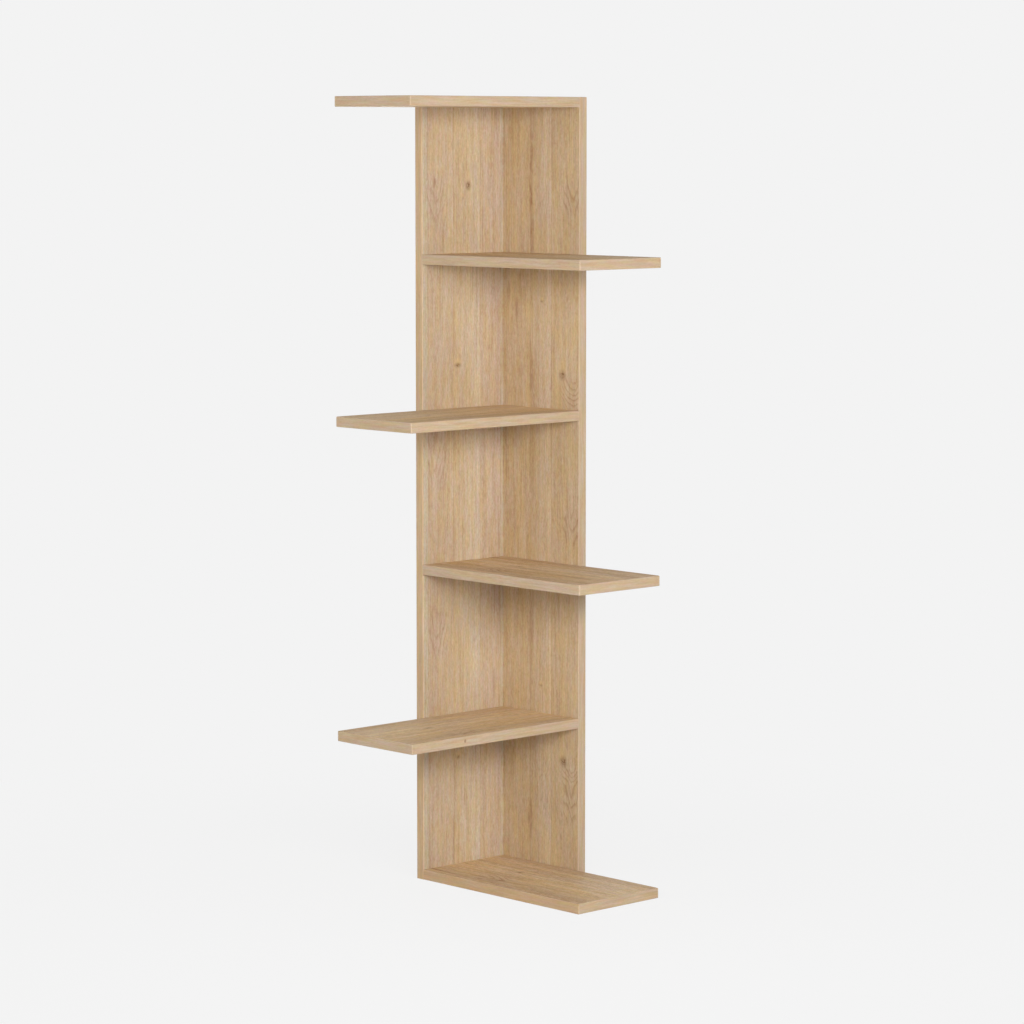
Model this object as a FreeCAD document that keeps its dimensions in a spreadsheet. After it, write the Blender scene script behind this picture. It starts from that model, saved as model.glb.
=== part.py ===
import FreeCAD, Part
import os
import Sketcher

# Corner bookshelf: two full-height uprights meet in an L, and identical shelf boards lie in
# the corner. Each shelf runs past the front edge of one upright, and the side it runs to
# changes from shelf to shelf. Lengths are in millimetres and +Z is up. Every board, band and
# fastener is drawn from the inner corner of the L, where the two uprights' inner faces meet
# the floor, and then placed so that the model's origin is under the middle of its outline.

SIZES = (
    ("board_thickness", 18, "thickness of every board"),
    ("shelf_width", 195, "shelf from back to front, and reach of both uprights from the corner"),
    ("shelf_length", 395, "shelf from its inner end to its free end"),
    ("shelf_gap", 256, "clear height between one shelf and the next"),
    ("shelf_count", 6, "number of shelves"),
    ("band_thickness", 2, "edge band on each board edge that shows"),
    ("band_rounding", 1.5, "radius on the bands' outer arrises"),
    ("rounding_share", 0.9, "largest share of a band's thickness that its rounding takes"),
    ("screw_inset", 50, "screws from the inner corner, and from the front edge"),
    ("screw_length", 50, "screw from head to tip"),
    ("screw_head_diameter", 10, "screw across its countersunk head"),
    ("screw_head_angle", 90, "angle of the countersink, in degrees"),
    ("screw_shank_diameter", 7, "plain shank under the head"),
    ("screw_shank_length", 11, "head and shank together"),
    ("screw_core_diameter", 5, "core of the threaded stretch"),
    ("screw_tip_diameter", 2, "end of the tip"),
    ("screw_tip_length", 4, "cone at the tip"),
    ("shank_clearance", 0.2, "hole in the upright, wider than the shank"),
    ("socket_size", 4, "hexagon socket across its flats"),
    ("socket_depth", 4, "hexagon socket from the face of the head"),
    ("dowel_diameter", 8, "wooden dowel"),
    ("dowel_length", 35, "wooden dowel from end to end"),
    ("dowel_depth", 12, "length of dowel in the upright it starts from"),
    ("dowel_chamfer", 1, "chamfer at both ends of a dowel"),
    ("corner_dowel_offset", 64, "corner dowels above and below the corner screw of a bay"),
    ("end_room", 1, "drilled past the tip of a screw and the end of a dowel"),
)

THICKNESS = "Sizes.board_thickness"
WIDTH = "Sizes.shelf_width"
LENGTH = "Sizes.shelf_length"
COUNT = "Sizes.shelf_count"
BAND = "Sizes.band_thickness"
INSET = "Sizes.screw_inset"
MIDDLE = f"({THICKNESS} / 2)"
PITCH = f"({THICKNESS} + Sizes.shelf_gap)"
HEIGHT = f"({THICKNESS} + ({COUNT} - 1) * {PITCH})"
BAY_MIDDLE = f"({THICKNESS} + Sizes.shelf_gap / 2)"
BAY_DOWELS = (
    f"({BAY_MIDDLE} - Sizes.corner_dowel_offset)",
    f"({BAY_MIDDLE} + Sizes.corner_dowel_offset)",
)
ROUNDING = f"min(Sizes.band_rounding; Sizes.rounding_share * {BAND})"
SHANK_HOLE = "(Sizes.screw_shank_diameter + Sizes.shank_clearance)"
SCREW_DRILLING = f"(Sizes.screw_length - {THICKNESS} + Sizes.end_room)"
DOWEL_DRILLING = "(Sizes.dowel_length - Sizes.dowel_depth + Sizes.end_room)"
CORNER_X = f"(({THICKNESS} - {LENGTH}) / 2)"
CORNER_Y = f"(({LENGTH} - {THICKNESS}) / 2)"

ALONG_LEFT_UPRIGHT = FreeCAD.Rotation(FreeCAD.Vector(0, 0, 1), -90)
ALONG_RIGHT_UPRIGHT = FreeCAD.Rotation(FreeCAD.Vector(1, 0, 0), 180)
AS_DRAWN = FreeCAD.Rotation()
SAME_PLACE = 1e-6

document = FreeCAD.newDocument("CornerBookshelf")


def write_sheet():
    """The sheet that every sketch and feature takes its sizes from."""
    sheet = document.addObject("Spreadsheet::Sheet", "Sizes")
    for row, (alias, value, meaning) in enumerate(SIZES, start=1):
        sheet.set(f"A{row}", alias)
        sheet.set(f"B{row}", str(value))
        sheet.set(f"C{row}", meaning)
        sheet.setAlias(f"B{row}", alias)
    document.recompute()
    return sheet


# Sketches and features

def new_body(label, rotation=AS_DRAWN, x="0", y="0", z="0"):
    """A body at a place given by expressions, measured from the inner corner."""
    body = document.addObject("PartDesign::Body", label)
    body.Placement = FreeCAD.Placement(FreeCAD.Vector(), rotation)
    body.setExpression("Placement.Base.x", f"{CORNER_X} + {x}")
    body.setExpression("Placement.Base.y", f"{CORNER_Y} + {y}")
    body.setExpression("Placement.Base.z", z)
    return body


def origin_part(body, role):
    """One of the body's own origin planes or axes."""
    return next(part for part in body.Origin.OriginFeatures if part.Role == role)


def new_sketch(body, role, offset):
    """A sketch on one of the body's own planes, moved along the plane's normal."""
    sketch = body.newObject("Sketcher::SketchObject", "Sketch")
    sketch.AttachmentSupport = (origin_part(body, role), [""])
    sketch.MapMode = "FlatFace"
    sketch.setExpression("AttachmentOffset.Base.z", offset)
    return sketch


def fix_point(sketch, geometry, point, drawn, place):
    """Tie a point's two distances from the sketch's origin to two expressions."""
    for kind, distance, expression in zip(("DistanceX", "DistanceY"), drawn, place):
        constraint = sketch.addConstraint(
            Sketcher.Constraint(kind, -1, 1, geometry, point, distance)
        )
        sketch.setExpression(f"Constraints[{constraint}]", expression)


def polygon(body, role, places, offset="0"):
    """A closed outline through places that are pairs of expressions."""
    sketch = new_sketch(body, role, offset)
    count = len(places)
    drawn = [FreeCAD.Vector(index, index * index, 0) for index in range(count)]
    for index in range(count):
        sketch.addGeometry(Part.LineSegment(drawn[index], drawn[(index + 1) % count]))
    for index in range(count):
        sketch.addConstraint(
            Sketcher.Constraint("Coincident", index, 2, (index + 1) % count, 1)
        )
    for index, place in enumerate(places):
        fix_point(sketch, index, 1, (drawn[index].x, drawn[index].y), place)
    return sketch


def circles(body, role, centres, diameter, offset="0"):
    """Equal circles about centres that are pairs of expressions."""
    sketch = new_sketch(body, role, offset)
    normal = FreeCAD.Vector(0, 0, 1)
    size = float(sketch.evalExpression(diameter))
    for index, centre in enumerate(centres):
        drawn = FreeCAD.Vector(index, index, 0)
        sketch.addGeometry(Part.Circle(drawn, normal, size / 2))
        fix_point(sketch, index, 3, (drawn.x, drawn.y), centre)
        constraint = sketch.addConstraint(Sketcher.Constraint("Diameter", index, size))
        sketch.setExpression(f"Constraints[{constraint}]", diameter)
    return sketch


def check_cut(body, feature, volume_before):
    """Stop if a cut took nothing away."""
    document.recompute()
    if feature.Shape.Volume >= volume_before:
        raise RuntimeError(f"{feature.Name} cuts nothing from {body.Label}")


def pocket(body, sketch, depth, along_normal=False):
    """Drill a sketch's shapes to a depth, against its plane's normal or along it."""
    document.recompute()
    volume_before = body.Shape.Volume
    cut = body.newObject("PartDesign::Pocket", "Pocket")
    cut.Profile = sketch
    cut.Reversed = along_normal
    cut.setExpression("Length", depth)
    check_cut(body, cut, volume_before)
    return cut


def countersunk_hole(body, sketch):
    """A clearance hole right through a board, with the countersink for a screw's head."""
    document.recompute()
    volume_before = body.Shape.Volume
    hole = body.newObject("PartDesign::Hole", "Hole")
    hole.Profile = sketch
    document.recompute()
    hole.Reversed = True
    hole.ThreadType = "None"
    hole.DepthType = "ThroughAll"
    hole.HoleCutType = "Countersink"
    hole.HoleCutCustomValues = True
    hole.setExpression("Diameter", SHANK_HOLE)
    hole.setExpression("HoleCutDiameter", "Sizes.screw_head_diameter")
    hole.setExpression("HoleCutCountersinkAngle", "Sizes.screw_head_angle")
    check_cut(body, hole, volume_before)
    return hole


def line_of(body, role, length, count):
    """The rule for a straight row of copies, not yet given anything to copy."""
    row = body.newObject("PartDesign::LinearPattern", "Row")
    row.Direction = (origin_part(body, role), [""])
    row.setExpression("Length", length)
    row.setExpression("Occurrences", count)
    return row


def repeat(body, features, length, count):
    """Copy features up the body."""
    row = line_of(body, "Z_Axis", length, count)
    row.Originals = features
    body.Tip = row
    document.recompute()


def repeat_at_shelves(body, features):
    """Copy features from the lowest shelf to every shelf above it."""
    repeat(body, features, f"({COUNT} - 1) * {PITCH}", COUNT)


def repeat_in_bays(body, features):
    """Copy features from the lowest bay between two shelves to every bay above it."""
    repeat(body, features, f"({COUNT} - 2) * {PITCH}", f"{COUNT} - 1")


def block(body, low, high):
    """A rectangular block between two corners that are triples of expressions."""
    outline = polygon(
        body,
        "XY_Plane",
        [(low[0], low[1]), (high[0], low[1]), (high[0], high[1]), (low[0], high[1])],
        low[2],
    )
    pad = body.newObject("PartDesign::Pad", "Block")
    pad.Profile = outline
    pad.setExpression("Length", f"({high[2]}) - ({low[2]})")
    document.recompute()
    return pad


def sides_of(edge, box):
    """The sides of a box that an edge lies in."""
    reach = edge.BoundBox
    gaps = {
        "-X": reach.XMax - box.XMin,
        "+X": reach.XMin - box.XMax,
        "-Y": reach.YMax - box.YMin,
        "+Y": reach.YMin - box.YMax,
        "-Z": reach.ZMax - box.ZMin,
        "+Z": reach.ZMin - box.ZMax,
    }
    return {side for side, gap in gaps.items() if abs(gap) < SAME_PLACE}


def edge_band(body, low, high, outer_sides):
    """A band with rounded arrises wherever two of its outer sides meet."""
    pad = block(body, low, high)
    arrises = [
        f"Edge{number}"
        for number, edge in enumerate(pad.Shape.Edges, start=1)
        if len(sides_of(edge, pad.Shape.BoundBox) & outer_sides) == 2
    ]
    rounding = body.newObject("PartDesign::Fillet", "Rounding")
    rounding.Base = (pad, arrises)
    rounding.setExpression("Radius", ROUNDING)
    document.recompute()


# Uprights. The left one stands along -Y and laps the back edge of the right one, which
# stands along +X.

def drill_upright(body, role, direction):
    """The holes that hold the shelves: two for screws and one for a dowel at each."""
    screw_centres = [
        (f"{direction}{INSET}", MIDDLE),
        (f"{direction}({WIDTH} - {INSET})", MIDDLE),
    ]
    outer_face = f"-{THICKNESS}"
    screws = countersunk_hole(body, circles(body, role, screw_centres, SHANK_HOLE, outer_face))
    dowel_centre = (f"{direction}{WIDTH} / 2", MIDDLE)
    dowel = pocket(
        body,
        circles(body, role, [dowel_centre], "Sizes.dowel_diameter"),
        "Sizes.dowel_depth",
    )
    repeat_at_shelves(body, [screws, dowel])


def left_upright():
    board = new_body("left_upright_board")
    block(
        board,
        (f"-{THICKNESS}", f"{BAND} - {WIDTH}", "0"),
        ("0", f"{THICKNESS} - {BAND}", f"{HEIGHT} - {BAND}"),
    )
    drill_upright(board, "YZ_Plane", "-")
    screw = countersunk_hole(
        board,
        circles(board, "YZ_Plane", [(MIDDLE, BAY_MIDDLE)], SHANK_HOLE, f"-{THICKNESS}"),
    )
    dowel_centres = [(MIDDLE, place) for place in BAY_DOWELS]
    dowels = pocket(
        board,
        circles(board, "YZ_Plane", dowel_centres, "Sizes.dowel_diameter"),
        "Sizes.dowel_depth",
    )
    repeat_in_bays(board, [screw, dowels])

    front_band = new_body("left_upright_front_band")
    edge_band(
        front_band,
        (f"-{THICKNESS}", f"-{WIDTH}", "0"),
        ("0", f"{BAND} - {WIDTH}", HEIGHT),
        {"-Y", "-X", "+X", "+Z"},
    )
    back_band = new_body("left_upright_back_band")
    edge_band(
        back_band,
        (f"-{THICKNESS}", f"{THICKNESS} - {BAND}", "0"),
        ("0", THICKNESS, HEIGHT),
        {"+Y", "-X", "+Z"},
    )
    top_band = new_body("left_upright_top_band")
    edge_band(
        top_band,
        (f"-{THICKNESS}", f"{BAND} - {WIDTH}", f"{HEIGHT} - {BAND}"),
        ("0", f"{THICKNESS} - {BAND}", HEIGHT),
        {"+Z", "-X", "+X"},
    )
    return [board, front_band, back_band, top_band]


def right_upright():
    board = new_body("right_upright_board")
    block(
        board,
        ("0", "0", "0"),
        (f"{WIDTH} - {BAND}", THICKNESS, f"{HEIGHT} - {BAND}"),
    )
    drill_upright(board, "XZ_Plane", "")
    screw = pocket(
        board,
        circles(board, "YZ_Plane", [(MIDDLE, BAY_MIDDLE)], "Sizes.screw_core_diameter"),
        SCREW_DRILLING,
        along_normal=True,
    )
    dowel_centres = [(MIDDLE, place) for place in BAY_DOWELS]
    dowels = pocket(
        board,
        circles(board, "YZ_Plane", dowel_centres, "Sizes.dowel_diameter"),
        DOWEL_DRILLING,
        along_normal=True,
    )
    repeat_in_bays(board, [screw, dowels])

    front_band = new_body("right_upright_front_band")
    edge_band(
        front_band,
        (f"{WIDTH} - {BAND}", "0", "0"),
        (WIDTH, THICKNESS, HEIGHT),
        {"+X", "-Y", "+Y", "+Z"},
    )
    top_band = new_body("right_upright_top_band")
    edge_band(
        top_band,
        ("0", "0", f"{HEIGHT} - {BAND}"),
        (f"{WIDTH} - {BAND}", THICKNESS, HEIGHT),
        {"+Z", "-Y", "+Y"},
    )
    return [board, front_band, top_band]


# Shelves. Each is drawn lying with its inner end at X = 0 and its back edge at Y = 0, with
# the free end at the far end of +X. The same board turns to run along the left upright, or
# turns over to run along the right one.

def drill_edge(body, role, along_normal):
    """The holes in an edge for the screws and the dowel that come through an upright."""
    screw_centres = [(INSET, MIDDLE), (f"{WIDTH} - {INSET}", MIDDLE)]
    pocket(
        body,
        circles(body, role, screw_centres, "Sizes.screw_core_diameter"),
        SCREW_DRILLING,
        along_normal,
    )
    pocket(
        body,
        circles(body, role, [(f"{WIDTH} / 2", MIDDLE)], "Sizes.dowel_diameter"),
        DOWEL_DRILLING,
        along_normal,
    )


def shelf(level):
    """A shelf and its bands, counted from 0 at the floor."""
    if level % 2 == 0:
        place = {"rotation": ALONG_RIGHT_UPRIGHT, "z": f"{level} * {PITCH} + {THICKNESS}"}
    else:
        place = {"rotation": ALONG_LEFT_UPRIGHT, "z": f"{level} * {PITCH}"}
    name = f"shelf_{level + 1}"

    board = new_body(f"{name}_board", **place)
    block(board, ("0", BAND, "0"), (f"{LENGTH} - {BAND}", f"{WIDTH} - {BAND}", THICKNESS))
    drill_edge(board, "XZ_Plane", along_normal=False)
    drill_edge(board, "YZ_Plane", along_normal=True)

    front_band = new_body(f"{name}_front_band", **place)
    edge_band(
        front_band,
        ("0", f"{WIDTH} - {BAND}", "0"),
        (LENGTH, WIDTH, THICKNESS),
        {"+Y", "+X", "-Z", "+Z"},
    )
    back_band = new_body(f"{name}_back_band", **place)
    edge_band(
        back_band,
        ("0", "0", "0"),
        (LENGTH, BAND, THICKNESS),
        {"-Y", "+X", "-Z", "+Z"},
    )
    drill_edge(back_band, "XZ_Plane", along_normal=False)
    end_band = new_body(f"{name}_end_band", **place)
    edge_band(
        end_band,
        (f"{LENGTH} - {BAND}", BAND, "0"),
        (LENGTH, f"{WIDTH} - {BAND}", THICKNESS),
        {"+X", "-Z", "+Z"},
    )
    return [board, front_band, back_band, end_band]


# Fasteners. A screw or dowel is drawn along +X, with the upright's outer face at X = 0.

def turned_profile(body, places):
    """A solid turned about X from the outline of its upper half."""
    turned = body.newObject("PartDesign::Revolution", "Turned")
    outline = polygon(body, "XY_Plane", places)
    turned.Profile = outline
    turned.ReferenceAxis = (outline, ["H_Axis"])
    turned.Angle = 360
    body.Tip = turned
    document.recompute()
    return turned


def screw(body):
    """A countersunk wood-connecting screw with a hexagon socket."""
    head = "Sizes.screw_head_diameter / 2"
    shank = "Sizes.screw_shank_diameter / 2"
    core = "Sizes.screw_core_diameter / 2"
    head_end = f"({head} - {shank}) / tan(Sizes.screw_head_angle / 2)"
    tip_start = "Sizes.screw_length - Sizes.screw_tip_length"
    turned = turned_profile(body, [
        ("0", "0"),
        ("0", head),
        (head_end, shank),
        ("Sizes.screw_shank_length", shank),
        ("Sizes.screw_shank_length", core),
        (tip_start, core),
        ("Sizes.screw_length", "Sizes.screw_tip_diameter / 2"),
        ("Sizes.screw_length", "0"),
    ])
    socket_radius = "Sizes.socket_size / 2 / cos(30)"
    hexagon = [
        (f"{socket_radius} * cos({angle})", f"{socket_radius} * sin({angle})")
        for angle in range(0, 360, 60)
    ]
    socket = pocket(
        body,
        polygon(body, "YZ_Plane", hexagon),
        "Sizes.socket_depth",
        along_normal=True,
    )
    return [turned, socket]


def dowel(body):
    """A plain dowel with chamfered ends, set into the upright from its inner face."""
    start = f"({THICKNESS} - Sizes.dowel_depth)"
    end = f"({start} + Sizes.dowel_length)"
    radius = "Sizes.dowel_diameter / 2"
    end_radius = f"{radius} - Sizes.dowel_chamfer"
    return [turned_profile(body, [
        (start, "0"),
        (start, end_radius),
        (f"{start} + Sizes.dowel_chamfer", radius),
        (f"{end} - Sizes.dowel_chamfer", radius),
        (end, end_radius),
        (end, "0"),
    ])]


def grid(body, features, across, rows):
    """Copy features sideways along +Y and upwards, each way by a length and a count."""
    group = body.newObject("PartDesign::MultiTransform", "Group")
    group.Originals = features
    group.Transformations = [line_of(body, "Y_Axis", *across), line_of(body, "Z_Axis", *rows)]
    body.Tip = group
    document.recompute()


def fasteners():
    """The screws and dowels, each row of them in one body."""
    at_shelves = (f"({COUNT} - 1) * {PITCH}", COUNT)
    screws_across = (f"{WIDTH} - 2 * {INSET}", "2")
    bodies = []

    left_screws = new_body(
        "left_upright_screws", x=f"-{THICKNESS}", y=f"({INSET} - {WIDTH})", z=MIDDLE
    )
    right_screws = new_body(
        "right_upright_screws", ALONG_LEFT_UPRIGHT, x=INSET, y=THICKNESS, z=MIDDLE
    )
    for body in (left_screws, right_screws):
        grid(body, screw(body), screws_across, at_shelves)
        bodies.append(body)

    left_dowels = new_body(
        "left_upright_dowels", x=f"-{THICKNESS}", y=f"-{WIDTH} / 2", z=MIDDLE
    )
    right_dowels = new_body(
        "right_upright_dowels", ALONG_LEFT_UPRIGHT, x=f"{WIDTH} / 2", y=THICKNESS, z=MIDDLE
    )
    for body in (left_dowels, right_dowels):
        repeat_at_shelves(body, dowel(body))
        bodies.append(body)

    corner_screws = new_body("corner_screws", x=f"-{THICKNESS}", y=MIDDLE, z=BAY_MIDDLE)
    repeat_in_bays(corner_screws, screw(corner_screws))
    bodies.append(corner_screws)

    for place, name in zip(BAY_DOWELS, ("lower", "upper")):
        corner_dowels = new_body(
            f"corner_{name}_dowels", x=f"-{THICKNESS}", y=MIDDLE, z=place
        )
        repeat_in_bays(corner_dowels, dowel(corner_dowels))
        bodies.append(corner_dowels)
    return bodies


def check_document(bodies):
    """Stop if any object failed, or if a body's shape isn't sound."""
    document.recompute()
    for item in document.Objects:
        if {"Invalid", "Error"} & set(item.State):
            raise RuntimeError(f"{item.Label} failed: {item.State}")
    for body in bodies:
        if body.Shape.isNull() or not body.Shape.isValid():
            raise RuntimeError(f"{body.Label} has no sound shape")


sheet = write_sheet()
pieces = left_upright() + right_upright()
for shelf_level in range(int(sheet.get("shelf_count"))):
    pieces += shelf(shelf_level)
pieces += fasteners()
check_document(pieces)

os.makedirs("parts", exist_ok=True)
for piece in pieces:
    piece.Shape.exportStep(f"parts/{piece.Label}.step")
    print(f"{piece.Label}: {len(piece.Shape.Solids)} solids, {piece.Shape.Volume:.1f} mm3")
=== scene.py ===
"""Oak finish, screws, dowels, lamps and camera of the corner bookshelf, around its packed frame."""

import math
from collections import namedtuple

import bpy
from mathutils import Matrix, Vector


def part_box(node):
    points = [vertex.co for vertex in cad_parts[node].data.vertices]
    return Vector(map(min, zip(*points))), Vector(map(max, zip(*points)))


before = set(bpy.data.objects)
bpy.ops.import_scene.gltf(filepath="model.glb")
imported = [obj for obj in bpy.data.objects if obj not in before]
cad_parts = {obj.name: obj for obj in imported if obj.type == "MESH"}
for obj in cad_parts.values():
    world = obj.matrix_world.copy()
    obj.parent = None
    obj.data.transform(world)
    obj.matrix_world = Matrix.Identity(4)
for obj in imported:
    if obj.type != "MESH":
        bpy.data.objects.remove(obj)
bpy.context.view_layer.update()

bl_info = {
    "name": "Corner Bookshelf Finish",
    "version": (1, 0, 0),
    "blender": (4, 5, 0),
    "location": "3D View > Sidebar > Bookshelf",
    "description": "Gives the corner bookshelf its oak, screws, dowels, lamps and camera",
    "category": "Object",
}

MM = 1000.0  # millimetres in a metre

LEFT_UPRIGHT = "left_upright_board"
RIGHT_UPRIGHT = "right_upright_board"


def nodes_like(start, end):
    """Names of the nodes that start and end like this, in order."""
    return sorted(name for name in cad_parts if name.startswith(start) and name.endswith(end))


SHELF_BOARDS = nodes_like("shelf_", "_board")
EDGE_BANDS = nodes_like("", "_band")
SCREWS = nodes_like("", "_screws")
DOWELS = nodes_like("", "_dowels")

# The inner corner, where the faces of the two uprights meet, and how far a board's face reaches from it
CORNER_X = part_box(LEFT_UPRIGHT)[1].x
CORNER_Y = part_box(RIGHT_UPRIGHT)[0].y
BOARD_WIDTH = (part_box(RIGHT_UPRIGHT)[1].x - CORNER_X) * MM


# Wires: shader sums written as Python sums

# A Mix node's inlets and outlet for colours, by number, because other kinds of value share their names
MIX_SHARE = 0
MIX_FIRST = 6
MIX_SECOND = 7
MIX_RESULT = 2

# The curve of screen colours: a straight start up to the knee, then a power
SCREEN_KNEE = 0.04045
SCREEN_SLOPE = 12.92
SCREEN_LIFT = 0.055
SCREEN_POWER = 2.4
SCREEN_WHITE = 255

# The middle value of a noise that goes from 0 to 1
MIDDLE = 0.5


class Wire:
    """One outlet of a node, which can be used in sums. Each sum adds its own node to the same material."""

    def __init__(self, tree, socket=None):
        self.tree = tree
        self.socket = socket

    def node(self, kind, settings=None, inlets=None, outlet=0):
        """Adds a node: first its settings, then the numbers or wires of its inlets."""
        made = self.tree.nodes.new(kind)
        for name, value in (settings or {}).items():
            if name == "stops":
                lay_stops(made.color_ramp, *value)
            else:
                setattr(made, name, value)
        for name, value in (inlets or {}).items():
            if isinstance(value, Wire):
                self.tree.links.new(value.socket, made.inputs[name])
            else:
                made.inputs[name].default_value = value
        return Wire(self.tree, made.outputs[outlet])

    def outlet(self, name):
        """Another outlet of the same node."""
        return Wire(self.tree, self.socket.node.outputs[name])

    def math(self, operation, *others):
        """A Math node on this value and the others."""
        return self.node("ShaderNodeMath", {"operation": operation}, dict(enumerate((self, *others))))

    def __add__(self, other):
        return self.math("ADD", other)

    __radd__ = __add__

    def __sub__(self, other):
        return self.math("SUBTRACT", other)

    def __rsub__(self, other):
        return self.node("ShaderNodeMath", {"operation": "SUBTRACT"}, {0: other, 1: self})

    def __mul__(self, other):
        return self.math("MULTIPLY", other)

    __rmul__ = __mul__

    def __truediv__(self, other):
        return self.math("DIVIDE", other)

    def __pow__(self, other):
        return self.math("POWER", other)


def lay_stops(ramp, interpolation, stops):
    """Gives a colour ramp these stops, each a place from 0 to 1 and a colour with alpha."""
    ramp.interpolation = interpolation
    ramp.elements.remove(ramp.elements[1])
    first_place, first_colour = stops[0]
    ramp.elements[0].position = first_place
    ramp.elements[0].color = first_colour
    for place, colour in stops[1:]:
        ramp.elements.new(place).color = colour


def ramp(value, interpolation, stops):
    """The colour that a value has between these stops."""
    return value.node("ShaderNodeValToRGB", {"stops": (interpolation, stops)}, {"Fac": value})


def step(value, low, high):
    """0 below low and 1 above high, smooth between them."""
    return value.node(
        "ShaderNodeMapRange",
        {"interpolation_type": "SMOOTHSTEP"},
        {"Value": value, "From Min": low, "From Max": high},
    )


def fall(value, low, high):
    """1 below low and 0 above high, smooth between them."""
    return 1.0 - step(value, low, high)


def blend(first, second, share):
    """From the first colour to the second as share goes from 0 to 1."""
    return share.node(
        "ShaderNodeMix",
        {"data_type": "RGBA", "clamp_factor": True},
        {MIX_SHARE: share, MIX_FIRST: first, MIX_SECOND: second},
        outlet=MIX_RESULT,
    )


def tinted(colour, tint):
    """A colour through a tint, as through coloured glass. The tint is a wire."""
    return tint.node(
        "ShaderNodeMix",
        {"data_type": "RGBA", "blend_type": "MULTIPLY"},
        {MIX_SHARE: 1.0, MIX_FIRST: colour, MIX_SECOND: tint},
        outlet=MIX_RESULT,
    )


def total(parts):
    """The sum of a list of wires."""
    found = parts[0]
    for part in parts[1:]:
        found = found + part
    return found


def paint(red, green, blue):
    """A screen colour, 0 to 255, as the linear colour that Blender's sockets take."""
    found = []
    for level in (red, green, blue):
        share = level / SCREEN_WHITE
        if share <= SCREEN_KNEE:
            found.append(share / SCREEN_SLOPE)
        else:
            found.append(((share + SCREEN_LIFT) / (1.0 + SCREEN_LIFT)) ** SCREEN_POWER)
    return tuple(found)


def opaque(colour):
    """A colour with full alpha."""
    return (*colour, 1.0)


def colour_setting(name, description, colour):
    """A colour that a user can change."""
    return bpy.props.FloatVectorProperty(
        name=name, description=description, subtype="COLOR", default=colour
    )


def new_material(name):
    """A new material, its shader, and a wire to start its sums from."""
    material = bpy.data.materials.new(name)
    material.use_nodes = True
    tree = material.node_tree
    return material, tree.nodes["Principled BSDF"], Wire(tree)


def connect(shader, **wires):
    """Links wires to the shader's inlets; an underscore in a name stands for a space."""
    for name, wire in wires.items():
        wire.tree.links.new(wire.socket, shader.inputs[name.replace("_", " ")])


def finish_nodes(names, material):
    """Puts one material on these nodes."""
    for name in names:
        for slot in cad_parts[name].material_slots:
            slot.material = material


def raise_grain(height, depth, strength):
    """A bumped surface: height from 0 to 1 stands for that depth in metres."""
    return height.node(
        "ShaderNodeBump", inlets={"Height": height, "Distance": depth, "Strength": strength}
    )


# Oak: what shows in each board's face

Strip = namedtuple("Strip", "width inner outer joint heart arch ray")
Strip.__doc__ = """One strip of a board face: its width in mm, its tones at the inner and outer edges,
how dark the joint at its inner edge is, and in mm from the board's inner edge where the tree's heart
lies: inside the strip it gives arches, far from it straight lines. arch is how much the strip shows of
them, and ray how much of the oak's short flecks. joint, arch and ray go from 0 to 1."""

Knot = namedtuple("Knot", "across along radius length dark swirl")
Knot.__doc__ = """A knot with its place and half sizes in mm, how dark it is, and how far in mm it pushes
the rings."""

Stain = namedtuple("Stain", "across along radius length dark")
Stain.__doc__ = """A dark streak in the grain: its place and half sizes in mm, and how dark it is."""

Rise = namedtuple("Rise", "low high amount")
Rise.__doc__ = """A stretch of a board, in mm along it, where the cut climbs through the rings by this
many mm and draws arches."""

Board = namedtuple("Board", "node origin across along through figure strips knots stains rises")
Board.__doc__ = """One board: the point that it is measured from, its directions across and along its
grain and into its thickness, how strongly its grain shows, and what is in its face."""

Cloud = namedtuple("Cloud", "layer width length detail bend", defaults=(0.0,))
Cloud.__doc__ = """Soft spots in the wood: their own layer of noise, how wide and long they are in mm,
how fine they get and how far they bend."""

Grain = namedtuple("Grain", "cloud low high dark")
Grain.__doc__ = """One kind of mark in the grain: its cloud, the values of the cloud between which it
comes up, and how dark it is."""

Stray = namedtuple("Stray", "cloud reach")
Stray.__doc__ = """A way in which the grain strays: its cloud, and how far it goes from side to side,
in mm."""

Lie = namedtuple(
    "Lie", "across along through layer heart arch ray shown shiver ripple lean steep rings flow"
)
Lie.__doc__ = """How the grain lies at a point of a board, as wires in mm: the point, its layer of noise,
how its strip was cut, whether dark marks reach it, how the grain shivers and ripples there, the place
across as the grain leans, how steeply the cut climbs, and the places between the rings and across as
the grain flows round the knots."""

# How strongly the grain shows on the uprights and on the shelves of either side
UPRIGHT_FIGURE = 0.84
RIGHT_SHELF_FIGURE = 1.08
LEFT_SHELF_FIGURE = 0.92

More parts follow.
